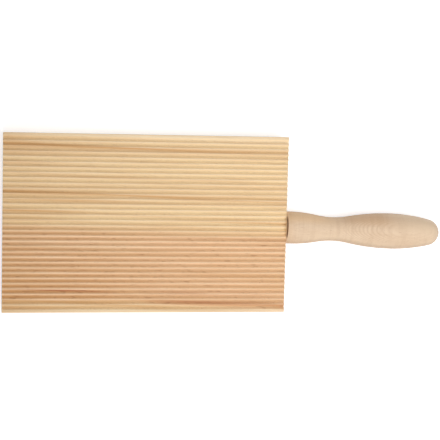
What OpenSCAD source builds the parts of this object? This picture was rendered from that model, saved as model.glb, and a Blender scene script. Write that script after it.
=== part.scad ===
// Gnocchi board: a grooved board for rolling small pasta, with a turned handle.
// The board lies with its ridges up. The origin is the centre of its underside,
// +X runs along the ridges to the handle and +Z points out of the ridged face.

/* [Board] */
// Length of the board along its middle line
board_l = 200; // [140:5:300]
// Width of the board across the ridges
board_w = 125; // [60:1:180]
// Thickness of the board from its underside to the ridge crests
board_t = 15; // [13:0.5:24]
// Angle by which the handle's end of the board is out of square
end_skew = 1.6; // [-4:0.1:4]
// Chamfer that takes the sharpness off the board's outer edges
board_ease = 0.5; // [0.2:0.1:1.2]

/* [Ridges] */
// Distance from one ridge crest to the next
ridge_pitch = 3.675; // [3.2:0.025:6]
// Depth of the grooves below the crests
groove_depth = 1.4; // [0.6:0.1:2]
// Radius of a rounded crest
crest_r = 0.5; // [0.2:0.05:0.75]
// Radius of a groove's round bottom
root_r = 1.075; // [0.4:0.025:1.3]
// Least plain strip between the side of the board and its first groove
side_strip = 1.5; // [1:0.25:10]

/* [Handle] */
// Length of the handle from the board's end to the nose
handle_l = 114.9; // [105:0.1:150]
// Place of the handle's axis across the board, from the board's middle line
handle_offset = -2; // [-20:0.5:20]
// Largest diameter of the swell near the butt
butt_d = 23.2; // [20:0.2:30]
// Distance of that diameter from the board's end
butt_at = 4.4; // [1:0.1:8]
// Smallest diameter of the waist
waist_d = 17.2; // [14:0.2:20]
// Distance of the waist from the board's end
waist_at = 35; // [25:1:45]
// Radius of the hollow curve at the waist
waist_r = 60; // [30:1:90]
// Largest diameter of the bulge that fills the palm
bulge_d = 25.8; // [22:0.2:32]
// Distance of the bulge from the board's end
bulge_at = 78; // [65:1:90]
// Radius of the nose
nose_r = 9.7; // [6:0.1:12]
// Chamfer on the rim of the butt
butt_ease = 0.4; // [0.2:0.1:1]

/* [Dowel] */
// Diameter of the dowel over its flutes' crests
dowel_d = 8; // [6:0.5:9]
// Length of the dowel
dowel_l = 40; // [20:1:50]
// Number of flutes that let the glue past
dowel_flutes = 20; // [12:1:24]
// Depth of a flute
flute_depth = 0.35; // [0.1:0.05:0.5]
// Radius of the round cutter that makes a flute
flute_r = 0.5; // [0.4:0.05:0.6]
// Chamfer on the ends of the dowel
dowel_chamfer = 1; // [0.5:0.1:2]
// Room between the dowel and its bores, measured on the diameter
dowel_fit = 0.05; // [0.05:0.05:0.3]
// Room for glue past each end of the dowel
glue_room = 1; // [0.5:0.5:3]

/* [Hidden] */

// Overshoot of a cut past the face that it opens
cut_over = 1;
// Sides of a small round, such as a crest, a bore or the dowel
small_sides = 48;
// Sides of the turned surface round the handle
turned_sides = 96;
// Sides of the large circles that the handle's outline takes its arcs from
outline_sides = 720;

// A groove's flank is the line that touches a crest's round and a bottom's round alike
both_r = crest_r + root_r;
round_rise = both_r - groove_depth;
round_gap = norm([ridge_pitch / 2, round_rise]);
flank_angle = asin(both_r / round_gap) - atan2(round_rise, ridge_pitch / 2);

// Where the flank starts under the crest and where it runs into the bottom,
// measured across from the groove's middle and down from the crests
lip_across = ridge_pitch / 2 - crest_r * sin(flank_angle);
lip_down = crest_r * (1 - cos(flank_angle));
root_across = root_r * sin(flank_angle);
root_down = groove_depth - root_r * (1 - cos(flank_angle));

// As many whole grooves as fit between the two plain strips, set in the middle
groove_count = floor((board_w - 2 * side_strip) / ridge_pitch);
grooved_w = groove_count * ridge_pitch;

// The handle's axis stands square on the board's end, at half the board's thickness
joint_x = board_l / 2 + handle_offset * tan(end_skew);
joint_z = board_t / 2;
end_reach = board_w / 2 * abs(tan(end_skew)) + cut_over;
end_low = (-board_w / 2 - handle_offset) / cos(end_skew);
end_high = (board_w / 2 - handle_offset) / cos(end_skew);

bore_d = dowel_d + dowel_fit;
bore_depth = dowel_l / 2 + glue_room;

// The handle's outline is five arcs that run into each other without a corner:
// butt, waist, bulge, tail and nose. Two arcs meet on the line through their
// centres, and that gives the radii of the butt, bulge and tail.
butt_r = butt_d / 2;
neck_r = waist_d / 2;
palm_r = bulge_d / 2;
butt_run = waist_at - butt_at;
butt_span = (pow(butt_run, 2) + pow(butt_r - neck_r, 2)) / (2 * (butt_r - neck_r));
butt_arc_r = butt_span - waist_r;
butt_to = butt_at + butt_run * butt_arc_r / butt_span;
rise_run = bulge_at - waist_at;
rise_span = (pow(rise_run, 2) + pow(palm_r - neck_r, 2)) / (2 * (palm_r - neck_r));
bulge_arc_r = rise_span - waist_r;
waist_to = waist_at + rise_run * waist_r / rise_span;
nose_at = handle_l - nose_r;
tail_run = nose_at - bulge_at;
tail_arc_r = (pow(tail_run, 2) + pow(palm_r, 2) - pow(nose_r, 2)) / (2 * (palm_r - nose_r));
tail_to = nose_at + nose_r * tail_run / (tail_arc_r - nose_r);
butt_face_r = butt_r - butt_arc_r + sqrt(pow(butt_arc_r, 2) - pow(butt_at, 2));

// A rectangle from its lowest corner to its highest
module area(low, high) {
    polygon([low, [high.x, low.y], high, [low.x, high.y]]);
}

// What one groove takes away, from the upper ends of its flanks down
module groove_section() {
    polygon([
        [-lip_across, -lip_down],
        [-root_across, -root_down],
        [root_across, -root_down],
        [lip_across, -lip_down]
    ]);
    intersection() {
        translate([0, root_r - groove_depth]) circle(root_r, $fn = small_sides);
        area([-root_r, -groove_depth - cut_over], [root_r, -root_down]);
    }
}

// The round cap of one ridge, above the upper ends of the flanks
module crest_section() {
    intersection() {
        translate([0, -crest_r]) circle(crest_r, $fn = small_sides);
        area([-crest_r, -lip_down], [crest_r, cut_over]);
    }
}

// The board cut across: x runs over its width and y up from its underside
module board_section() {
    translate([0, board_t]) {
        difference() {
            polygon([
                [-board_w / 2, -board_ease],
                [-board_w / 2, board_ease - board_t],
                [board_ease - board_w / 2, -board_t],
                [board_w / 2 - board_ease, -board_t],
                [board_w / 2, board_ease - board_t],
                [board_w / 2, -board_ease],
                [board_w / 2 - board_ease, 0],
                [grooved_w / 2, 0],
                [grooved_w / 2, -lip_down],
                [-grooved_w / 2, -lip_down],
                [-grooved_w / 2, 0],
                [board_ease - board_w / 2, 0]
            ]);
            for (i = [0 : groove_count - 1])
                translate([(i + 0.5) * ridge_pitch - grooved_w / 2, 0]) groove_section();
        }
        for (i = [0 : groove_count])
            translate([i * ridge_pitch - grooved_w / 2, 0]) crest_section();
    }
}

// Puts its children at the joint, with their +Z along the handle to the nose
module at_joint() {
    translate([joint_x, handle_offset, joint_z]) rotate([0, 90, -end_skew]) children();
}

// A bar that chamfers an edge along Y, between a face to +X and a face to +Z
module easing(l) {
    rotate([0, -45, 0])
        translate([-board_ease / sqrt(2), -l / 2, -board_ease - cut_over])
            cube([board_ease + cut_over, l, 2 * (board_ease + cut_over)]);
}

// The chamfers round one end of the board, whose face lies in the XY plane here
// and reaches across it from low to high
module end_easing(low, high) {
    for (flip = [0, 1])
        mirror([flip, 0, 0]) translate([board_t / 2, 0, 0]) easing(2 * board_w);
    translate([0, low, 0]) rotate([0, 0, -90]) easing(2 * board_t);
    translate([0, high, 0]) rotate([0, 0, 90]) easing(2 * board_t);
}

// One plank with the grooves along it, its handle end cut a little out of square
// and bored for the dowel
module ridged_board() {
    color([0.90, 0.77, 0.58])
        difference() {
            translate([-board_l / 2, 0, 0])
                rotate([90, 0, 90]) linear_extrude(board_l + end_reach) board_section();
            translate([-board_l / 2, 0, joint_z])
                rotate([0, -90, 0]) end_easing(-board_w / 2, board_w / 2);
            at_joint() {
                translate([0, 0, end_reach])
                    cube([2 * board_w, 2 * board_w, 2 * end_reach], center = true);
                end_easing(end_low, end_high);
                translate([0, 0, -bore_depth])
                    cylinder(d = bore_d, h = bore_depth + cut_over, $fn = small_sides);
            }
        }
}

// The stretch of the handle's half outline between two distances from the board's end
module stretch(from, to) {
    area([0, from], [bulge_d, to]);
}

// A circle of the handle's outline, by its middle's distance off the axis and along it
module outline_circle(off, along, r) {
    translate([off, along]) circle(r, $fn = outline_sides);
}

// The rounded swell that stands against the board, with its rim eased
module butt_outline() {
    difference() {
        intersection() {
            stretch(0, butt_to);
            outline_circle(butt_r - butt_arc_r, butt_at, butt_arc_r);
        }
        polygon([
            [butt_face_r - butt_ease - cut_over, -cut_over],
            [butt_face_r + cut_over, butt_ease + cut_over],
            [butt_face_r + cut_over, -cut_over]
        ]);
    }
}

// Half the handle's outline: x is the distance from its axis and y runs to the nose
module handle_outline() {
    butt_outline();
    difference() {
        stretch(butt_to, waist_to);
        outline_circle(neck_r + waist_r, waist_at, waist_r);
    }
    intersection() {
        stretch(waist_to, bulge_at);
        outline_circle(palm_r - bulge_arc_r, bulge_at, bulge_arc_r);
    }
    intersection() {
        stretch(bulge_at, tail_to);
        outline_circle(palm_r - tail_arc_r, bulge_at, tail_arc_r);
    }
    intersection() {
        stretch(tail_to, handle_l + cut_over);
        outline_circle(0, nose_at, nose_r);
    }
}

// The turned handle, bored up its middle for the dowel
module handle() {
    color([0.90, 0.80, 0.69])
        at_joint()
            difference() {
                rotate_extrude($fn = turned_sides) handle_outline();
                translate([0, 0, -cut_over])
                    cylinder(d = bore_d, h = bore_depth + cut_over, $fn = small_sides);
            }
}

// The dowel's section: a round with a ring of flutes cut in it
module fluted_section() {
    difference() {
        circle(d = dowel_d, $fn = small_sides);
        for (i = [0 : dowel_flutes - 1])
            rotate(i * 360 / dowel_flutes)
                translate([dowel_d / 2 - flute_depth + flute_r, 0]) circle(flute_r, $fn = small_sides);
    }
}

// The glued dowel, half of it in the board and half in the handle
module dowel() {
    color([0.84, 0.70, 0.52])
        at_joint()
            intersection() {
                linear_extrude(dowel_l, center = true) fluted_section();
                rotate_extrude($fn = small_sides)
                    polygon([
                        [0, -dowel_l / 2],
                        [dowel_d / 2 - dowel_chamfer, -dowel_l / 2],
                        [dowel_d / 2 + cut_over, cut_over + dowel_chamfer - dowel_l / 2],
                        [dowel_d / 2 + cut_over, dowel_l / 2 - dowel_chamfer - cut_over],
                        [dowel_d / 2 - dowel_chamfer, dowel_l / 2],
                        [0, dowel_l / 2]
                    ]);
            }
}

ridged_board();
handle();
dowel();
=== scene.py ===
# %% [markdown]
# # A gnocchi board
# This lesson dresses a small kitchen tool: a plank with rounded ridges along its upper
# face, and a turned handle glued to one end. The solids of the tool come from a packed
# frame, in metres, with the origin at the centre of the plank's underside, +X along
# the ridges to the handle and +Z out of the ridged face. The plank and the handle are
# modelled again here with their worn edges, because the eye stops at an edge first.

# %% Load the frame
import math

import bmesh
import bpy
from mathutils import Matrix, Vector


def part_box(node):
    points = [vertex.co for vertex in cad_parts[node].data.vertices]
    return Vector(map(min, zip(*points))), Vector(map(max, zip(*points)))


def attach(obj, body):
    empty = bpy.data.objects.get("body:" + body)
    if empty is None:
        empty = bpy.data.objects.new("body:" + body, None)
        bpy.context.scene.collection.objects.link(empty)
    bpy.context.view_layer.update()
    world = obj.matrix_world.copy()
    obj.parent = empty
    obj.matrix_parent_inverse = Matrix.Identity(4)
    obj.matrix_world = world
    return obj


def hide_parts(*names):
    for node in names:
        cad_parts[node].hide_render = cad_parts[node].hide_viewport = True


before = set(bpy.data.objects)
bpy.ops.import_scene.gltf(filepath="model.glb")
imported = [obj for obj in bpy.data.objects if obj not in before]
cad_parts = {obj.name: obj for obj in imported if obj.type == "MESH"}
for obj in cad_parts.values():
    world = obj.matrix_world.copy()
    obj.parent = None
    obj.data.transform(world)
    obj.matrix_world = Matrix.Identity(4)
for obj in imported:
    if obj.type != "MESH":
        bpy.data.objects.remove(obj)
bpy.context.view_layer.update()

# %% [markdown]
# ## The camera
# The photograph looks down on the board from about 0.8 m, a little from its left. Its
# frame is square, so the lens is written for a square picture: the focal length in
# pixels divided by the picture's width, times the sensor's width. The camera's place is
# in metres and its turn in degrees. Both were fitted, with the focal length, until the
# board's four edges lay over those in the photograph.

# %% Camera
PICTURE = 440
FOCAL_PIXELS = 1150
SENSOR = 36.0
CAMERA_PLACE = (-0.06334, -0.01507, 0.82194)
CAMERA_TURN = (1.212, -8.130, 0.264)
camera_data = bpy.data.cameras.new("view_from_above")
camera_data.sensor_width = SENSOR
camera_data.lens = SENSOR * FOCAL_PIXELS / PICTURE
camera = bpy.data.objects.new("view_from_above", camera_data)
bpy.context.scene.collection.objects.link(camera)
camera.location = CAMERA_PLACE
camera.rotation_euler = [math.radians(turn) for turn in CAMERA_TURN]
bpy.context.scene.camera = camera
print("lens", round(camera_data.lens, 2), "mm")

# %% [markdown]
# ## Sizes
# The board's length, width and thickness are read from its solid. The ridges' own sizes
# are few: their pitch, their depth and the two radii. A groove's flank is the straight
# line that touches the round of a crest and the round of a root, so its steepness
# follows from them. The handle's outline is five arcs, each given by the distance of its
# widest or narrowest place from the board's end.

# %% Sizes of the board
MM = 0.001
board_low, board_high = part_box("ridged_board")
thickness = board_high.z - board_low.z
width = board_high.y - board_low.y
END_SKEW = math.radians(1.6)
half_length = -board_low.x
PITCH = 3.675 * MM
GROOVES = 33
CREST_R = 0.5 * MM
ROOT_R = 1.075 * MM
GROOVE_DEPTH = 1.4 * MM
EDGE_EASE = 0.5 * MM
JOINT_EASE = 0.15 * MM
both_rounds = CREST_R + ROOT_R
round_rise = both_rounds - GROOVE_DEPTH
flank = math.asin(both_rounds / math.hypot(PITCH / 2, round_rise)) - math.atan2(round_rise, PITCH / 2)
print("board", [round(size / MM, 2) for size in (half_length * 2, width, thickness)], "mm")
print("flanks stand", round(math.degrees(flank), 1), "degrees steep")

# %% Sizes of the handle
HANDLE_OFFSET = -2.0 * MM
BUTT_R, BUTT_AT = 11.6 * MM, 4.4 * MM
NECK_R, NECK_AT, NECK_ARC = 8.6 * MM, 35.0 * MM, 60.0 * MM
PALM_R, PALM_AT = 12.9 * MM, 78.0 * MM
NOSE_R, HANDLE_L = 9.7 * MM, 114.9 * MM
BUTT_EASE = 0.4 * MM
joint = Vector((half_length + HANDLE_OFFSET * math.tan(END_SKEW), HANDLE_OFFSET, thickness / 2))
print("joint at", tuple(round(c, 5) for c in joint))

# %% [markdown]
# ## Finished pieces
# Every piece ends the same way: points that lie on each other are merged, its faces are
# turned outwards, its mesh becomes an object at the origin, and it rides on the one body
# of the tool. Edges that turn by less than 40 degrees are shaded as one smooth surface.

# %% A piece from a bmesh
MERGE_GAP = 0.002 * MM
SMOOTH_UNDER = math.radians(40)


def finish_piece(name, bm, slot, *nodes):
    """Makes a piece of a bmesh, to stand in the place of the solids that are named last."""
    bmesh.ops.remove_doubles(bm, verts=bm.verts, dist=MERGE_GAP)
    bmesh.ops.recalc_face_normals(bm, faces=bm.faces)
    mesh = bpy.data.meshes.new(name)
    bm.to_mesh(mesh)
    bm.free()
    piece = bpy.data.objects.new(name, mesh)
    bpy.context.scene.collection.objects.link(piece)
    mesh.shade_smooth()
    mesh.set_sharp_from_angle(angle=SMOOTH_UNDER)
    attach(piece, "root")
    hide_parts(*nodes)
    print(name, len(mesh.vertices), "vertices", len(mesh.polygons), "faces")
    return piece


# %% [markdown]
# ## The ridged board
# A moulder runs shaped cutters along the plank, so the section is the same all the way:
# the natural start is that section as one flat face. It is drawn as a zigzag of sharp
# corners, which stand a little past the rounds that they become, between two flat strips
# along the sides.

# %% The sharp section
grooved = GROOVES * PITCH
crest_over = CREST_R * (1 / math.cos(flank) - 1)
root_under = ROOT_R * (1 / math.cos(flank) - 1)
strip_reach = crest_over / math.tan(flank)


def sharp_section(bm):
    """Draws the section at the free end, and sorts its corners by the round that each one gets."""
    def corner(y, z):
        return bm.verts.new((-half_length, y, z))

    side, low, high = width / 2, 0.0, thickness
    corners = [corner(-side, low), corner(side, low), corner(side, high)]
    outer = [corner(grooved / 2 - strip_reach, high)]
    crests, roots, zigzag = [], [], []
    for i in range(GROOVES):
        middle = grooved / 2 - (i + 0.5) * PITCH
        roots.append(corner(middle, high - GROOVE_DEPTH - root_under))
        zigzag.append(roots[-1])
        if i < GROOVES - 1:
            crests.append(corner(middle - PITCH / 2, high + crest_over))
            zigzag.append(crests[-1])
    outer.append(corner(strip_reach - grooved / 2, high))
    last = corner(-side, high)
    bm.faces.new([*corners, outer[0], *zigzag, outer[1], last])
    return crests, roots, outer, [*corners, last]


print("sharp crests stand", round(crest_over / MM, 3), "mm over the round ones")

# %% [markdown]
# A bevel gives each corner its round: where the two lines at a corner turn by an angle,
# the offset is the radius times the tangent of half of it. That half is the flank's own
# steepness at a crest and at a root, and half of that at the two outer corners. Then the
# face is pulled along the board. The last half millimetre at the free end is drawn in a
# little, as sandpaper leaves it, and less at the end that the handle stands on.

# %% Round the corners
CREST_STEPS, ROOT_STEPS, EDGE_STEPS = 6, 8, 3


def round_corners(bm, verts, offset, segments):
    bmesh.ops.bevel(bm, geom=verts, offset=offset, offset_type="OFFSET", segments=segments,
                    profile=0.5, affect="VERTICES", material=-1, clamp_overlap=False)


offsets = [round(radius * math.tan(flank) / MM, 3) for radius in (CREST_R, ROOT_R)]
print("offsets", offsets, "mm at a crest and at a root")

# %% Ease an end
EASE_SHARES = (0.0, 0.3, 0.65, 1.0)
SAME_X = 0.001 * MM


def verts_at(bm, x):
    return [v for v in bm.verts if abs(v.co.x - x) < SAME_X]


def ease_end(bm, end_x, inwards, ease):
    """Rounds the rim of one end: rings are cut close to it, and all but the last are drawn in."""
    for share in EASE_SHARES[1:]:
        plane = Vector((end_x + inwards * share * ease, 0, 0))
        everything = [*bm.verts, *bm.edges, *bm.faces]
        bmesh.ops.bisect_plane(bm, geom=everything, plane_co=plane, plane_no=(1, 0, 0))
    middle = Matrix.Translation((0, 0, -thickness / 2))
    for share in EASE_SHARES[:-1]:
        drawn = ease * (1 - math.sqrt(1 - (1 - share) ** 2))
        narrower, thinner = 1 - 2 * drawn / width, 1 - 2 * drawn / thickness
        ring = verts_at(bm, end_x + inwards * share * ease)
        bmesh.ops.scale(bm, verts=ring, vec=(1, narrower, thinner), space=middle)


print("rings", [round(share * EDGE_EASE / MM, 3) for share in EASE_SHARES[1:]], "mm from the free end")

# %% Pull the section along and skew one end
def make_board():
    bm = bmesh.new()
    crests, roots, outer, corners = sharp_section(bm)
    round_corners(bm, crests, CREST_R * math.tan(flank), CREST_STEPS)
    round_corners(bm, roots, ROOT_R * math.tan(flank), ROOT_STEPS)
    round_corners(bm, outer, CREST_R * math.tan(flank / 2), EDGE_STEPS)
    round_corners(bm, corners, EDGE_EASE, EDGE_STEPS)
    grown = bmesh.ops.extrude_face_region(bm, geom=bm.faces[:])
    far = [g for g in grown["geom"] if isinstance(g, bmesh.types.BMVert)]
    bmesh.ops.translate(bm, verts=far, vec=(2 * half_length, 0, 0))
    ease_end(bm, -half_length, 1, EDGE_EASE)
    ease_end(bm, half_length, -1, JOINT_EASE)
    for vert in bm.verts:
        if vert.co.x > 0:
            vert.co.x += vert.co.y * math.tan(END_SKEW)
    return bm


board = finish_piece("ridged_plank", make_board(), "board_wood", "ridged_board")

# %% [markdown]
# ## The handle
# A turned piece is one outline spun round an axis, and the outline itself is drawn the
# same way: a single vertex is spun about the centre of each arc in turn, and leaves its
# path behind. Two arcs meet on the line through their centres, so the run has no corner.
# The handle is made upright at the origin, then laid along its own leaning axis.

# %% The arcs of the outline
def arc_between(wide_r, wide_at, narrow_r, narrow_at, narrow_arc):
    """The radius of the arc at the wide place, and where it meets the hollow arc."""
    run, drop = narrow_at - wide_at, wide_r - narrow_r
    span = (run * run + drop * drop) / (2 * drop)
    return span - narrow_arc, wide_at + run * (span - narrow_arc) / span


butt_arc, butt_to = arc_between(BUTT_R, BUTT_AT, NECK_R, NECK_AT, NECK_ARC)
palm_arc, neck_to = arc_between(PALM_R, PALM_AT, NECK_R, NECK_AT, NECK_ARC)
nose_at = HANDLE_L - NOSE_R
tail_run = nose_at - PALM_AT
tail_arc = (tail_run ** 2 + PALM_R ** 2 - NOSE_R ** 2) / (2 * (PALM_R - NOSE_R))
tail_to = nose_at + NOSE_R * tail_run / (tail_arc - NOSE_R)
face_r = BUTT_R - butt_arc + math.sqrt(butt_arc ** 2 - BUTT_AT ** 2)
print("arcs", [round(r / MM, 1) for r in (butt_arc, NECK_ARC, palm_arc, tail_arc, NOSE_R)], "mm")


# %% Draw one arc
def spin_arc(bm, vert, centre_r, centre_at, to_angle, steps):
    """Spins one vertex about an arc's centre, from where it stands to an angle in the outline's plane."""
    centre = Vector((centre_r, 0, centre_at))
    arm = vert.co - centre
    turn = math.remainder(to_angle - math.atan2(arm.z, arm.x), 2 * math.pi)
    made = bmesh.ops.spin(bm, geom=[vert], cent=centre, axis=(0, -1, 0), dvec=(0, 0, 0),
                          angle=turn, steps=steps, use_merge=False, use_duplicate=False)
    return next(g for g in made["geom_last"] if isinstance(g, bmesh.types.BMVert))


# %% Draw the outline and spin it
BUTT_SOFTENING = 0.12 * MM
BUTT_STEPS, NECK_STEPS, PALM_STEPS, TAIL_STEPS, NOSE_STEPS = 18, 30, 24, 24, 20
STEPS_ROUND = 128


def butt_outline(bm):
    """The end face and its eased rim, from the axis outwards."""
    centre = bm.verts.new((0, 0, 0))
    rim = bm.verts.new((face_r - BUTT_EASE, 0, 0))
    eased = bm.verts.new((face_r, 0, BUTT_EASE))
    bm.edges.new((centre, rim))
    bm.edges.new((rim, eased))
    bmesh.ops.bevel(bm, geom=[rim, eased], offset=BUTT_SOFTENING, offset_type="OFFSET", segments=2,
                    profile=0.5, affect="VERTICES", material=-1)
    return max(bm.verts, key=lambda v: v.co.z)


def make_handle():
    bm = bmesh.new()
    end = butt_outline(bm)
    butt_angle = math.asin((butt_to - BUTT_AT) / butt_arc)
    neck_angle = math.pi - math.asin((neck_to - NECK_AT) / NECK_ARC)
    tail_angle = math.asin((tail_to - PALM_AT) / tail_arc)
    end = spin_arc(bm, end, BUTT_R - butt_arc, BUTT_AT, butt_angle, BUTT_STEPS)
    end = spin_arc(bm, end, NECK_R + NECK_ARC, NECK_AT, neck_angle, NECK_STEPS)
    end = spin_arc(bm, end, PALM_R - palm_arc, PALM_AT, 0.0, PALM_STEPS)
    end = spin_arc(bm, end, PALM_R - tail_arc, PALM_AT, tail_angle, TAIL_STEPS)
    end = spin_arc(bm, end, 0.0, nose_at, math.pi / 2, NOSE_STEPS)
    end.co = (0, 0, HANDLE_L)
    bmesh.ops.spin(bm, geom=[*bm.verts, *bm.edges], cent=(0, 0, 0), axis=(0, 0, 1), dvec=(0, 0, 0),
                   angle=2 * math.pi, steps=STEPS_ROUND, use_merge=True, use_duplicate=False)
    lean = Matrix.Rotation(-END_SKEW, 4, "Z")
    lay = Matrix.Translation(joint) @ lean @ Matrix.Rotation(math.pi / 2, 4, "Y")
    bmesh.ops.transform(bm, matrix=lay, verts=bm.verts)
    return bm


handle = finish_piece("turned_handle", make_handle(), "handle_wood", "handle")

# %% [markdown]
# ## Shader maths in plain expressions
# A finish is built from numbers that vary over the surface. One small class stands for
# such a number, so that `1 - mask` or `grain * 0.3` adds the Math node for it, and
# `Finish.add` adds any other node: its settings first, then what feeds its sockets.
# Every pattern starts from Object coordinates, which are places inside the solid wood,
# so a line on the upper face goes on over the edge and down the end.

# %% Numbers that vary over a surface
class Varying:
    """A number that a node works out for each place, or a place or a colour."""
    def __init__(self, finish, socket):
        self.finish, self.socket = finish, socket

    def math(self, operation, *others):
        return self.finish.add("ShaderNodeMath", {"operation": operation}, [self, *others])

    def __add__(self, other):
        return self.math("ADD", other)

    def __sub__(self, other):
        return self.math("SUBTRACT", other)

    def __mul__(self, other):
        return self.math("MULTIPLY", other)

    def __truediv__(self, other):
        return self.math("DIVIDE", other)

    def __pow__(self, other):
        return self.math("POWER", other)

    def __rsub__(self, other):
        return self.finish.add("ShaderNodeMath", {"operation": "SUBTRACT"}, [other, self])

    __radd__ = __add__
    __rmul__ = __mul__

    def held(self):
        """The number kept between 0 and 1."""
        return self.finish.add("ShaderNodeClamp", {}, [self])

    def ramp(self, low, high):
        """0 below low, 1 above high and smooth between."""
        named = {"Value": self, "From Min": low, "From Max": high}
        return self.finish.add("ShaderNodeMapRange", {"interpolation_type": "SMOOTHSTEP"}, named)

    def fall(self, low, high):
        """1 below low, 0 above high and smooth between."""
        return 1 - self.ramp(low, high)

    def hill(self, starts, full, fades, ends):
        """0 up to the first number, 1 between the middle two, and 0 again from the last on."""
        return self.ramp(starts, full) * self.fall(fades, ends)


# %% A finish
# The Mix node has sockets for numbers, vectors and colours in one list. These are the ones for colours.
MIX_SHARE, MIX_LOW, MIX_HIGH, MIX_RESULT = 0, 6, 7, 2


class Finish:
    """A piece's material, with short ways to add its nodes."""
    def __init__(self, name):
        self.material = bpy.data.materials.new(name)
        self.material.use_nodes = True
        self.tree = self.material.node_tree
        self.shader = self.tree.nodes["Principled BSDF"]
        where = self.tree.nodes.new("ShaderNodeTexCoord")
        self.place = Varying(self, where.outputs["Object"])

    def feed(self, socket, value):
        if isinstance(value, Varying):
            self.tree.links.new(value.socket, socket)
        else:
            socket.default_value = value

    def add(self, kind, settings, inputs, out=0):
        node = self.tree.nodes.new(kind)
        for name, value in settings.items():
            setattr(node, name, value)
        named = inputs if isinstance(inputs, dict) else dict(enumerate(inputs))
        for name, value in named.items():
            self.feed(node.inputs[name], value)
        return Varying(self, node.outputs[out])

    def turned(self, turn):
        """The place on the piece, turned about the origin."""
        named = {"Vector": self.place, "Rotation": turn}
        return self.add("ShaderNodeMapping", {"vector_type": "POINT"}, named)

    def joined(self, x, y, z):
        """A place from its three numbers."""
        return self.add("ShaderNodeCombineXYZ", {}, [x, y, z])

    def parts(self, vector):
        """The three numbers of a place."""
        node = self.tree.nodes.new("ShaderNodeSeparateXYZ")
        self.feed(node.inputs[0], vector)
        return [Varying(self, out) for out in node.outputs]

    def noise(self, vector, clouds, detail=2.0, rough=0.5):
        """Cloudy numbers about 0.5, with so many clouds to a metre along each axis."""
        stretched = self.add("ShaderNodeVectorMath", {"operation": "MULTIPLY"}, [vector, clouds])
        named = {"Vector": stretched, "Scale": 1.0, "Detail": detail, "Roughness": rough}
        return self.add("ShaderNodeTexNoise", {"noise_dimensions": "3D"}, named)

    def blend(self, share, low, high, how="MIX"):
        """A colour between two others."""
        settings = {"data_type": "RGBA", "blend_type": how}
        inputs = {MIX_SHARE: share, MIX_LOW: low, MIX_HIGH: high}
        return self.add("ShaderNodeMix", settings, inputs, out=MIX_RESULT)

    def overlaid(self, tone, over, where, strength):
        """A tone with another one laid over it, where and as strongly as told."""
        return self.blend(where * strength, tone, over)

    def marked(self, tone, place, clouds, detail, rough, low, high, strength, over):
        """A tone with cloudy marks laid over it, which come up between two levels of their noise."""
        noise = self.noise(place, clouds, detail, rough)
        return self.overlaid(tone, over, noise.ramp(low, high), strength), noise

    def shade(self, color, rough, height=None, strength=0.3, distance=0.1 * MM, gloss=0.25):
        """Feeds the shader. A height between 0 and 1 becomes a bump as high as the distance, in metres."""
        self.feed(self.shader.inputs["Base Color"], color)
        self.feed(self.shader.inputs["Roughness"], rough)
        self.shader.inputs["Specular IOR Level"].default_value = gloss
        if height is not None:
            named = {"Strength": strength, "Distance": distance, "Height": height}
            bump = self.add("ShaderNodeBump", {}, named)
            self.feed(self.shader.inputs["Normal"], bump)
        return self.material


# %% Helpers for tones, sizes and pieces
def linear(red, green, blue):
    """A colour read off a picture, 0 to 255, as the light it stands for."""
    def channel(value):
        value /= 255
        return value / 12.92 if value <= 0.04045 else ((value + 0.055) / 1.055) ** 2.4
    return (channel(red), channel(green), channel(blue), 1.0)


def mm(*sizes):
    """Sizes in millimetres, as the metres that the shader reads."""
    return [size * MM for size in sizes]


def coat(piece, material):
    piece.data.materials.append(material)
    print(piece.name, "has the finish", material.name, "of", len(material.node_tree.nodes), "nodes")


print("a middle grey, 128 of 255, is", round(linear(128, 128, 128)[0], 3), "of the light")

# %% [markdown]
# ## The board's wood
# The plank is one piece of pale hardwood with a reddish band along one side. Its grain
# runs a degree or two off the ridges and fans out a little, so every line drifts over
# the ridges from one end to the other. The growth rings are wide cylinders about a pith
# off to one side and below, so a line leans as it goes down into the wood. A place is
# told by where its ring comes out of the upper face: then the upper face shows straight
# lines, and the ends show the same lines cut across, leaning, as real end grain does.
# Going down into the wood, the patterns change five times more slowly than across it.

# %% Colours of the board
# The groove tones hold both a stain and painted shade.
PALE_CREST = linear(247, 221, 182)
PALE_GROOVE_STAIN_AND_SHADE = linear(240, 213, 167)
RED_CREST = linear(249, 214, 175)
RED_GROOVE_STAIN_AND_SHADE = linear(210, 165, 120)
GOLD_TONE = linear(206, 154, 90)
LATE_WOOD = linear(211, 166, 116)
STREAK_TONE = linear(198, 142, 78)
PALE_LINE = linear(252, 232, 198)
RED_STREAK = linear(176, 106, 66)
FLECK_TONE = linear(150, 92, 54)
print("late wood gives back", round(LATE_WOOD[1] / PALE_CREST[1], 2), "of a pale crest's green")

# %% The way the grain runs
GRAIN_LEAN = 0.031
GRAIN_FAN = 0.14
SWAY, SWAY_CLOUDS = 2.5 * MM, (8, 25, 25)
PITH_ASIDE, PITH_UNDER = 180 * MM, 60 * MM
DEPTH_SHARE = 0.2


def board_grain(wood):
    """How far along the board, across the grain and high a place is, and the place in the grain itself."""
    x, y, z = wood.parts(wood.place)
    sway = (wood.noise(wood.place, SWAY_CLOUDS, detail=1.0) - 0.5) * SWAY
    level = y + x * (GRAIN_LEAN - y * GRAIN_FAN) + sway
    ring = (level + PITH_ASIDE) ** 2.0 + (z + PITH_UNDER) ** 2.0
    across = (ring - (thickness + PITH_UNDER) ** 2) ** 0.5 - PITH_ASIDE
    return x, across, z, wood.joined(x, across, thickness + (z - thickness) * DEPTH_SHARE)


print("the grain leans", round(math.degrees(math.atan(GRAIN_LEAN)), 1), "degrees off the ridges")

# %% [markdown]
# The reddish band has soft, blotchy borders. Late wood darkens the rings a little, in
# bands that stand closer towards the edges.

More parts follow.
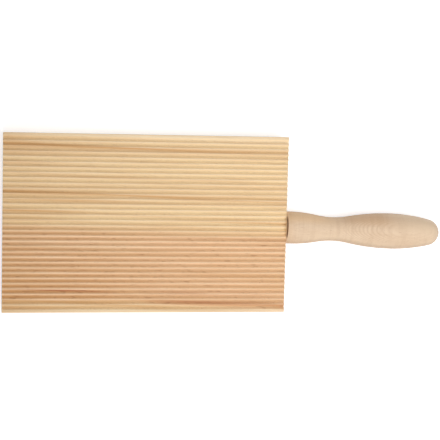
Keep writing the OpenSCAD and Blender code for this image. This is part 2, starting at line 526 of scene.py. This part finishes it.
# %% The reddish band and the growth bands
RED_BAND = mm(-59.5, -55.5, -12.0, -1.0)
BLOTCH_REACH = 7.0 * MM
RED_LEAST, RED_VARIES = 0.7, 0.6
BANDS_WIDEST_AT, BANDS_SPREAD = 22.0 * MM, 110.0 * MM
BAND_GAP = 4.6 * MM
LATE_NARROWNESS = 3.0


def red_share(across, blotch):
    """About 1 in the reddish band and 0 beside it, with blotches."""
    border = across + (blotch - 0.5) * BLOTCH_REACH
    return (border.hill(*RED_BAND) * (RED_LEAST + blotch * RED_VARIES)).held()


def late_share(across):
    """The late wood's share in the growth rings."""
    reach = ((across - BANDS_WIDEST_AT) ** 2.0 + BANDS_SPREAD ** 2) ** 0.5
    return (0.5 - (reach * (2 * math.pi / BAND_GAP)).math("SINE") * 0.5) ** LATE_NARROWNESS


print("reddish from", round(RED_BAND[0] / MM, 1), "to", round(RED_BAND[-1] / MM, 1), "mm across")

# %% [markdown]
# The grooves are painted darker than the crests, most of all in the reddish band: partly a
# stain and partly painted shade. There the darkening keeps to the bottoms at the free end,
# and towards the handle it is weaker and reaches up the flanks. Towards the handle the
# flanks are also painted a little brighter, and the crests and bottoms a little duller: this
# is painted light and shade.

# %% Crests and grooves
STAIN_AND_SHADE_STEEPNESS, STAIN_AND_SHADE_SPREADS = 1.8, 0.8
STAIN_AND_SHADE_WEAKENS, STAIN_AND_SHADE_WEAKENS_AT = 0.30, (-half_length * 0.7, half_length * 0.4)
FLANKS_PAINTED_LIGHTER, CRESTS_AND_BOTTOMS_PAINTED_DARKER = 0.50, 0.06


def cut_tones(wood, x, depth, red):
    """The tone of crests and grooves, with stain and painted shade in the grooves and painted light on the
    flanks, and how far a place is darkened by stain and shade.
    """
    along = x.ramp(-half_length, half_length)
    weaker = x.ramp(*STAIN_AND_SHADE_WEAKENS_AT) * STAIN_AND_SHADE_WEAKENS
    # Darker in the grooves: partly stain, partly painted shade.
    stain_and_shade = depth ** (STAIN_AND_SHADE_STEEPNESS - along * STAIN_AND_SHADE_SPREADS) * (1 - weaker)
    pale = wood.blend(depth, PALE_CREST, PALE_GROOVE_STAIN_AND_SHADE)
    tone = wood.blend(red, pale, wood.blend(stain_and_shade, RED_CREST, RED_GROOVE_STAIN_AND_SHADE))
    # Painted light and shade: towards the handle the flanks are brighter, the crests and bottoms duller.
    painted_flank_light = 1 + along * (depth * (1 - depth) * FLANKS_PAINTED_LIGHTER - CRESTS_AND_BOTTOMS_PAINTED_DARKER)
    return wood.blend(1.0, tone, painted_flank_light, "MULTIPLY"), stain_and_shade


print("a reddish groove gives back", round(RED_GROOVE_STAIN_AND_SHADE[1] / RED_CREST[1], 2), "of its crest's green")

# %% [markdown]
# The free end is more golden, above all towards its two corners, and in the near corner
# the grooves are darker still, in step with their stain and painted shade.

# %% The free end
GOLD_REACH = (-half_length - 12.0 * MM, -half_length + 45.0 * MM)
GOLD_LEAST_AT, GOLD_SIDES = -2.0 * MM, mm(38.0, 62.0)
GOLD_MIDDLE, GOLD_CORNERS = 0.10, 0.18
CORNER_ACROSS, CORNER_ALONG = mm(-52.0, -24.0), mm(-55.0, 25.0)


def golden_end(wood, tone, x, across, stain_and_shade):
    """The tone with gold laid over it at the free end, and with darker grooves in one corner."""
    off_middle = (across - GOLD_LEAST_AT).math("ABSOLUTE").ramp(*GOLD_SIDES)
    strength = off_middle * GOLD_CORNERS + GOLD_MIDDLE
    tone = wood.overlaid(tone, GOLD_TONE, x.fall(*GOLD_REACH), strength)
    corner = across.fall(*CORNER_ACROSS) * x.fall(*CORNER_ALONG)
    return wood.overlaid(tone, STREAK_TONE, stain_and_shade * corner, strength=0.40)


print("golden up to", round((GOLD_REACH[1] + half_length) / MM), "mm from the free end")

# %% [markdown]
# Soft bands, fibres, dashes and pores are the same cloudy noise, stretched along the
# grain, and each is finer than the one before. The dashes show most in the reddish band
# and low in the grooves.

# %% Bands, fibres, dashes and pores
# Clouds to a metre along each axis, detail, roughness, the two levels between which the marks come up,
# strength and tone.
BOARD_BANDS = ((5, 330, 330), 2.0, 0.5, 0.45, 0.75, 0.35, LATE_WOOD)
BOARD_FIBRES = ((24, 950, 950), 4.0, 0.6, 0.42, 0.75, 0.30, LATE_WOOD)
BOARD_PORES = ((600, 5200, 5200), 1.0, 0.5, 0.60, 0.75, 0.25, FLECK_TONE)
DASH_CLOUDS, DASH_LEVELS = (150, 1300, 1300), (0.60, 0.72)
DASHES_ANYWHERE, DASHES_IN_RED = 0.1, 0.3
DASHES_ON_CRESTS, DASHES_LOWER = 0.3, 0.7


def dashed(wood, tone, grain, red, depth):
    """The tone with short dark dashes along the grain."""
    dashes = wood.noise(grain, DASH_CLOUDS, detail=1.0).ramp(*DASH_LEVELS)
    where = dashes * (DASHES_ANYWHERE + red * DASHES_IN_RED)
    return wood.overlaid(tone, FLECK_TONE, where, DASHES_ON_CRESTS + depth * DASHES_LOWER)


print("pores stand about", round(1 / BOARD_PORES[0][1] / MM, 2), "mm apart across the grain")

# %% [markdown]
# A few rings are strong enough to be seen as single lines. Each has its own place across
# the grain and its own run along the board, fades out at both ends and is broken up by
# the soft bands.

# %% Single lines
LINE_FADE = 25.0 * MM
LINE_SOFTNESS = 1.5
BROKEN_FROM, BROKEN_TO = 0.3, 0.6
# Tone, middle across the grain, half the width, strength, and start and stop along the board, in mm.
BOARD_LINES = (
    (STREAK_TONE, 52.4, 1.9, 0.72, -140, 140),
    (STREAK_TONE, 54.6, 2.2, 0.65, -140, -80),
    (STREAK_TONE, 18.7, 1.9, 0.80, -140, 140),
    (STREAK_TONE, 17.2, 2.0, 0.50, 20, 140),
    (STREAK_TONE, 5.0, 1.5, 0.45, -140, -60),
    (STREAK_TONE, 2.3, 1.5, 0.50, 30, 140),
    (GOLD_TONE, 52.0, 6.0, 0.25, -140, -45),
    (GOLD_TONE, 14.0, 6.0, 0.35, -140, -30),
    (GOLD_TONE, 3.5, 9.0, 0.35, -140, -50),
    (GOLD_TONE, -58.5, 4.0, 0.40, -140, 10),
    (RED_STREAK, -47.5, 4.0, 0.42, 5, 110),
    (PALE_LINE, 61.0, 4.5, 0.60, -40, 140),
    (PALE_LINE, -17.5, 5.0, 0.25, -90, 0),
    (GOLD_TONE, -55.0, 6.0, 0.30, -140, 140),
    (RED_STREAK, -9.0, 1.6, 0.30, 20, 140),
    (RED_STREAK, -50.3, 1.5, 1.20, -85, -40),
    (RED_STREAK, -54.5, 3.0, 0.50, 5, 140),
)


def line_share(x, across, middle, half, start, stop):
    """1 on a line's middle and 0 from its sides on."""
    off = (across - middle * MM).math("ABSOLUTE") / (half * MM)
    start, stop = start * MM, stop * MM
    run = x.hill(start - LINE_FADE, start + LINE_FADE, stop - LINE_FADE, stop + LINE_FADE)
    return (1 - off).held() ** LINE_SOFTNESS * run


def single_lines(wood, tone, x, across, bands):
    """The tone with every single line laid over it."""
    broken = bands.ramp(BROKEN_FROM, BROKEN_TO)
    for over, middle, half, strength, start, stop in BOARD_LINES:
        share = line_share(x, across, middle, half, start, stop)
        tone = wood.overlaid(tone, over, share * broken, strength)
    return tone


print(len(BOARD_LINES), "single lines")

# %% [markdown]
# The finish is these layers in turn. The fibres also roughen the surface and stand up in
# it, and the pores are small pits.

# %% Board wood
BLOTCH_CLOUDS = (12, 90, 90)
BOARD_ROUGH, BOARD_ROUGHER = 0.38, 0.2
PORE_DEPTH = 0.5


def board_wood():
    wood = Finish("board_wood")
    x, across, z, grain = board_grain(wood)
    red = red_share(across, wood.noise(grain, BLOTCH_CLOUDS, detail=3.0))
    depth = ((thickness - z) / GROOVE_DEPTH).held()
    tone, stain_and_shade = cut_tones(wood, x, depth, red)
    tone = wood.overlaid(tone, LATE_WOOD, late_share(across), strength=0.22)
    tone = golden_end(wood, tone, x, across, stain_and_shade)
    tone, bands = wood.marked(tone, grain, *BOARD_BANDS)
    tone, fibres = wood.marked(tone, grain, *BOARD_FIBRES)
    tone = single_lines(wood, tone, x, across, bands)
    tone = dashed(wood, tone, grain, red, depth)
    tone, pores = wood.marked(tone, grain, *BOARD_PORES)
    rough = BOARD_ROUGH + fibres * BOARD_ROUGHER
    height = fibres - pores * PORE_DEPTH
    return wood.shade(tone, rough, height, strength=0.35, distance=0.08 * MM, gloss=0.35)


coat(board, board_wood())

# %% [markdown]
# ## The handle's wood
# The handle is turned from a paler, pinker wood. Its growth rings are nearly flat where
# they cross so thin a piece, and climb slowly along it: on the bulge they come out as
# nested curves. Short dark flecks lie along the handle, a faint curl crosses it, and the
# gouge leaves fine rings round it. All of this is told by the place along the handle's
# own leaning axis, so the coordinates are turned first.

# %% Colours of the handle
HANDLE_PALE = linear(230, 204, 175)
HANDLE_DEEP = linear(211, 180, 149)
HANDLE_WORN = linear(238, 214, 184)
# The tone of the painted shade on the handle's underside.
HANDLE_PAINTED_SHADE = linear(186, 155, 126)
HANDLE_FLECK = linear(168, 126, 94)
HANDLE_SOAKED = linear(205, 160, 114)
HANDLE_PEACH = linear(242, 200, 150)
# Painted light for the end face, and the painted shadow in its ring.
END_FACE_PAINTED_LIGHT = linear(255, 234, 204)
PAINTED_SHADOW_TONE = linear(96, 50, 8)
print("deep wood gives back", round(HANDLE_DEEP[1] / HANDLE_PALE[1], 2), "of the pale wood's green")


# %% Places in the handle
def handle_place(wood):
    """A place turned to the handle, how far along it is, how far aside of the axis, and how high."""
    turned = wood.turned((0, 0, END_SKEW))
    x, y, z = wood.parts(turned)
    aside = y - joint.y * math.cos(END_SKEW) - joint.x * math.sin(END_SKEW)
    return turned, x, aside, z


def from_end(*distances):
    """Places along the handle, from distances to the board's end in millimetres."""
    return [joint.x + distance * MM for distance in distances]


print("handle runs from", [round(place, 4) for place in from_end(0, HANDLE_L / MM)], "m along X")

# %% Growth curves and marks
BULGE = from_end(34, 52, 64, 84)
RING_CLIMB = 0.10
RING_GAP = 0.7 * MM
RING_WANDER, WANDER_CLOUDS = 2.0 * MM, (12, 60, 60)
RINGS_ANYWHERE, RINGS_ON_BULGE = 0.25, 0.4
# Clouds to a metre along each axis, detail, roughness, the two levels between which the marks come up,
# strength and tone.
HANDLE_CLOUDS = ((25, 90, 90), 2.0, 0.5, 0.30, 0.70, 0.50, HANDLE_DEEP)
HANDLE_CURL = ((330, 40, 40), 2.0, 0.5, 0.48, 0.72, 0.45, HANDLE_DEEP)
HANDLE_FIBRES = ((60, 1100, 1100), 4.0, 0.5, 0.45, 0.80, 0.35, HANDLE_DEEP)
HANDLE_FLECKS = ((420, 2600, 2600), 1.0, 0.5, 0.62, 0.78, 0.35, HANDLE_FLECK)
TOOL_RINGS = ((900, 4, 4), 2.0, 0.5, 0.50, 0.75, 0.30, HANDLE_DEEP)


def growth_curves(wood, tone, turned, x, z, bulge):
    """The tone with the growth rings laid over it, plainest on the bulge."""
    wander = wood.noise(turned, WANDER_CLOUDS) * RING_WANDER
    rings = ((z + x * RING_CLIMB + wander) * (2 * math.pi / RING_GAP)).math("SINE") * 0.5 + 0.5
    strength = RINGS_ANYWHERE + bulge * RINGS_ON_BULGE
    return wood.overlaid(tone, HANDLE_DEEP, rings ** 2.0, strength)


print("a growth ring comes out every", round(RING_GAP / RING_CLIMB / MM, 1), "mm along the handle")

# %% [markdown]
# Hands and oil change the tone from place to place: the butt is soaked, the waist and
# the nose are worn pale, and the far side is warmer near the butt and on the bulge. The
# underside is painted darker, a little higher up on the near side: this is painted shade.

# %% Zones of the handle
WAIST = from_end(8, 22, 36, 58)
WARM_BUTT, SOAKED_BUTT = from_end(20, 45), from_end(0, 8)
WORN_NOSE, NOSE_ASIDE = from_end(70, 105), mm(-6.0, 4.0)
FAR_SIDE, NEAR_SIDE = mm(1.0, 7.0), mm(-10.0, -4.0)
PAINTED_SHADE_HEIGHT, PAINTED_SHADE_CLIMB = mm(-1.0, 6.5), 2.5 * MM


def used_zones(wood, tone, x, aside, z, bulge):
    """The tone as use has left it, with painted shade on the underside."""
    far_side = aside.ramp(*FAR_SIDE)
    nose = x.ramp(*WORN_NOSE) * aside.ramp(*NOSE_ASIDE)
    tone = wood.overlaid(tone, HANDLE_SOAKED, bulge * far_side, strength=0.35)
    tone = wood.overlaid(tone, HANDLE_PEACH, x.fall(*WARM_BUTT) * far_side, strength=0.45)
    tone = wood.overlaid(tone, HANDLE_WORN, nose, strength=0.55)
    tone = wood.overlaid(tone, HANDLE_SOAKED, x.fall(*SOAKED_BUTT), strength=0.30)
    # Painted shade: darker on the underside, a little higher up on the near side.
    painted_shade_under = (z - joint.z - aside.fall(*NEAR_SIDE) * PAINTED_SHADE_CLIMB).fall(*PAINTED_SHADE_HEIGHT)
    return wood.overlaid(tone, HANDLE_PAINTED_SHADE, painted_shade_under, strength=0.6)


print("the nose is worn from", round((WORN_NOSE[0] - joint.x) / MM), "mm on")

# %% [markdown]
# The butt stands a few millimetres above the board, and its end face shows there. The face
# is painted paler than the handle's side, as painted light against the shade that it stands
# in. A ring just inside its rim is a painted shadow: from above it is the thin dark crescent
# at the joint.

# %% The end face
END_FACE_LIGHT_DEPTH, PAINTED_SHADOW_DEPTH = from_end(0.05, 0.2), from_end(0.50, 0.78)
PAINTED_SHADOW_RING = mm(9.2, 11.0)
PAINTED_SHADOW_RISE = 2.6 * MM


def end_face(wood, tone, x, aside, z):
    """The tone with painted light on the end face and a painted shadow ring inside its rim laid over it.
    """
    # Painted light: the end face is paler than the wood around it.
    tone = wood.overlaid(tone, END_FACE_PAINTED_LIGHT, x.fall(*END_FACE_LIGHT_DEPTH), strength=0.65)
    radius = (aside ** 2.0 + (z - joint.z) ** 2.0) ** 0.5
    # Painted shadow: a dark ring inside the rim, only where the face stands above the board.
    ring = x.fall(*PAINTED_SHADOW_DEPTH) * radius.ramp(*PAINTED_SHADOW_RING)
    return wood.blend(ring * z.ramp(thickness, thickness + PAINTED_SHADOW_RISE), tone, PAINTED_SHADOW_TONE)


print("the end face stands", round((face_r - thickness / 2) / MM, 1), "mm above the board")

# %% Handle wood
HANDLE_ROUGH, HANDLE_ROUGHER = 0.45, 0.12
FIBRE_HEIGHT, TOOL_RING_HEIGHT = 0.5, 0.8


def handle_wood():
    wood = Finish("handle_wood")
    turned, x, aside, z = handle_place(wood)
    bulge = x.hill(*BULGE)
    tone, _ = wood.marked(HANDLE_PALE, turned, *HANDLE_CLOUDS)
    tone = growth_curves(wood, tone, turned, x, z, bulge)
    tone = wood.overlaid(tone, HANDLE_WORN, x.hill(*WAIST), strength=0.2)
    tone, _ = wood.marked(tone, turned, *HANDLE_CURL)
    tone, fibres = wood.marked(tone, turned, *HANDLE_FIBRES)
    tone, _ = wood.marked(tone, turned, *HANDLE_FLECKS)
    tone, rings = wood.marked(tone, turned, *TOOL_RINGS)
    tone = used_zones(wood, tone, x, aside, z, bulge)
    tone = end_face(wood, tone, x, aside, z)
    rough = HANDLE_ROUGH + fibres * HANDLE_ROUGHER
    height = fibres * FIBRE_HEIGHT + rings * TOOL_RING_HEIGHT
    return wood.shade(tone, rough, height, strength=0.25, distance=0.06 * MM)


coat(handle, handle_wood())

# %% [markdown]
# ## The dowel
# The dowel keeps its solid, which is already fluted. It is sealed in the joint, and a
# plain beech finish is enough.

# %% Dowel wood
DOWEL_PALE = linear(226, 196, 156)
DOWEL_DEEP = linear(194, 152, 108)
DOWEL_CLOUDS, DOWEL_LEVELS = (50, 900, 900), (0.35, 0.75)
DOWEL_ROUGH, DOWEL_ROUGHER = 0.6, 0.1


def dowel_wood():
    wood = Finish("dowel_wood")
    fibres = wood.noise(wood.place, DOWEL_CLOUDS, detail=3.0)
    tone = wood.blend(fibres.ramp(*DOWEL_LEVELS), DOWEL_PALE, DOWEL_DEEP)
    return wood.shade(tone, DOWEL_ROUGH + fibres * DOWEL_ROUGHER, fibres, strength=0.3)


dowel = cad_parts["dowel"]
dowel.data.materials.clear()
coat(dowel, dowel_wood())

# %% [markdown]
# ## What the eye sees and what gives light
# The photograph's background is plain white. If it lit the tool as brightly as it shows,
# the ridges would lose their shadows. So the floor and the room have two shaders each,
# picked by the kind of ray: one is what the eye sees, straight, in a gloss or through
# glass, and the other gives the light that falls on the tool.

# %% A shader for each kind of ray
SEEN_RAYS = ("Is Camera Ray", "Is Glossy Ray", "Is Transmission Ray")


def by_ray(tree, lit, seen):
    """A shader that is `seen` for the eye and `lit` for all other rays."""
    path = tree.nodes.new("ShaderNodeLightPath")
    share = path.outputs[SEEN_RAYS[0]]
    for ray in SEEN_RAYS[1:]:
        larger = tree.nodes.new("ShaderNodeMath")
        larger.operation = "MAXIMUM"
        tree.links.new(share, larger.inputs[0])
        tree.links.new(path.outputs[ray], larger.inputs[1])
        share = larger.outputs[0]
    either = tree.nodes.new("ShaderNodeMixShader")
    for socket, source in zip(either.inputs, (share, lit, seen)):
        tree.links.new(source, socket)
    return either.outputs[0]


print("the eye sees by", len(SEEN_RAYS), "kinds of ray")

# %% [markdown]
# ## The floor
# The handle is thicker than the board, so the tool rests on the far lower edge of the
# board and on the handle's bulge. The floor is laid through those two lines. To the eye
# it is lifted towards white near the tool, where it still takes the shadow, and it is
# plain white farther off.

# %% Floor
FLOOR_REACH = 30.0
FLOOR_GAP = 0.05 * MM
palm_low = joint.z - PALM_R
palm_x = joint.x + PALM_AT * math.cos(END_SKEW)
slope = palm_low / (palm_x + half_length)


def make_floor():
    bm = bmesh.new()
    bmesh.ops.create_grid(bm, x_segments=1, y_segments=1, size=FLOOR_REACH)
    for vert in bm.verts:
        vert.co.z = slope * (vert.co.x + half_length) - FLOOR_GAP
    mesh = bpy.data.meshes.new("floor")
    bm.to_mesh(mesh)
    bm.free()
    floor = bpy.data.objects.new("floor", mesh)
    bpy.context.scene.collection.objects.link(floor)
    return floor


print("floor falls", round(-slope * 1000, 2), "mm in a metre")

# %% Floor white
FLOOR_TONE = (0.9, 0.9, 0.9, 1.0)
FLOOR_ROUGH = 0.8
FLOOR_LIFT = 0.46
WHITE_FROM, WHITE_TO = 0.35, 0.8


def floor_white():
    white = Finish("floor_white")
    white.shade(FLOOR_TONE, FLOOR_ROUGH)
    plain = Varying(white, white.shader.outputs[0])
    glow = white.add("ShaderNodeEmission", {}, {"Strength": FLOOR_LIFT})
    near = white.add("ShaderNodeAddShader", {}, [plain, glow])
    far = white.add("ShaderNodeEmission", {}, {"Strength": 1.0})
    away = white.add("ShaderNodeVectorMath", {"operation": "LENGTH"}, [white.place], out="Value")
    seen = white.add("ShaderNodeMixShader", {}, [away.ramp(WHITE_FROM, WHITE_TO), near, far])
    surface = white.tree.nodes["Material Output"].inputs["Surface"]
    white.tree.links.new(by_ray(white.tree, plain.socket, seen.socket), surface)
    return white.material


floor = make_floor()
coat(floor, floor_white())

# %% [markdown]
# ## The light
# A white room gives part of the light. Two windows face each other across the board, and
# the near one is the stronger: they draw the ridges as lines. A third lamp hangs over the
# handle, because the photograph's board grows brighter that way. It hangs so high that
# the butt throws hardly a shadow on the board. All three face one place on the board,
# 5 cm from its middle towards the handle.

# %% The room
ROOM_LIGHT, ROOM_SEEN = 0.30, 1.0
world = bpy.data.worlds.new("white_room")
bpy.context.scene.world = world
world.use_nodes = True
room = world.node_tree
lit, seen = room.nodes["Background"], room.nodes.new("ShaderNodeBackground")
for shader, strength in ((lit, ROOM_LIGHT), (seen, ROOM_SEEN)):
    shader.inputs["Color"].default_value = (1, 1, 1, 1)
    shader.inputs["Strength"].default_value = strength
either = by_ray(room, lit.outputs[0], seen.outputs[0])
room.links.new(either, room.nodes["World Output"].inputs["Surface"])
print("the room lights with", ROOM_LIGHT, "of the white that it shows")

# %% Lamps
LAMP_AIM = Vector((0.05, 0, 0))


def soft_lamp(name, place, size, power):
    data = bpy.data.lights.new(name, "AREA")
    data.shape = "SQUARE"
    data.size = size
    data.energy = power
    lamp = bpy.data.objects.new(name, data)
    bpy.context.scene.collection.objects.link(lamp)
    lamp.location = place
    lamp.rotation_euler = (LAMP_AIM - Vector(place)).to_track_quat("-Z", "Y").to_euler()
    print(name, "at", place, power, "W")


soft_lamp("near_window", place=(0.05, -0.84, 0.71), size=0.5, power=4.8)
soft_lamp("far_window", place=(0.05, 0.84, 0.71), size=0.5, power=1.8)
soft_lamp("end_lamp", place=(0.25, -0.05, 0.50), size=0.2, power=1.04)

bpy.context.scene.view_settings.view_transform = "Standard"

# %% [markdown]
# ## Last step
# The view layer is brought up to date.

# %% Update the view layer
bpy.context.view_layer.update()
